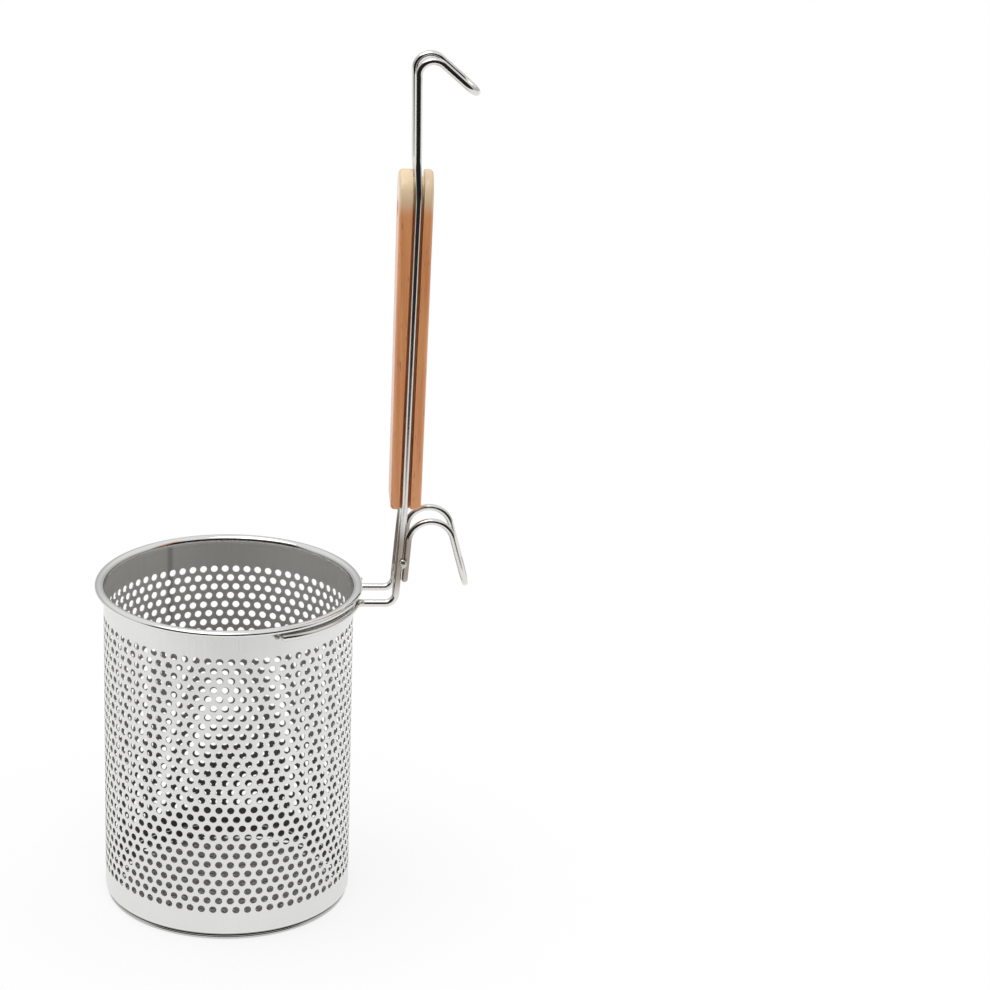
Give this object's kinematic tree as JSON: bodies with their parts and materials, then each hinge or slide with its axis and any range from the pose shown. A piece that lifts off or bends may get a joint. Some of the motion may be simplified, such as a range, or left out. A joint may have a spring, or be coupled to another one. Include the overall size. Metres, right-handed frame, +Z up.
{
  "type": "noodle strainer",
  "caption": "Deep perforated steel noodle strainer with a bent wire handle, wooden grip, hanging hook and pot hook.",
  "frame": {"origin": "bottom centre of the whole strainer's bounding box; the basket's own axis is 28.4 mm towards -X from it", "axes": "+Z up along the basket's axis, +X from the basket towards the handle and the hooks, +Y across"},
  "size_m": [0.2004, 0.1436, 0.4707],
  "materials": {
    "basket_steel": "satin rolled stainless sheet",
    "wire_steel": "electropolished stainless wire",
    "weld_steel": "cleaned weld metal",
    "wood": "oiled honey-brown hardwood"
  },
  "bodies": {
    "root": {"basket_wall": "basket_steel", "floor_pan": "basket_steel", "rim_core_wire": "basket_steel", "handle_wire": "wire_steel", "pot_hook": "wire_steel", "wood_handle": "wood", "rim_weld_front": "weld_steel", "rim_weld_rear": "weld_steel", "wire_end_tack_front": "weld_steel", "wire_end_tack_rear": "weld_steel", "pot_hook_weld_front": "weld_steel", "pot_hook_weld_rear": "weld_steel"}
  },
  "joints": []
}
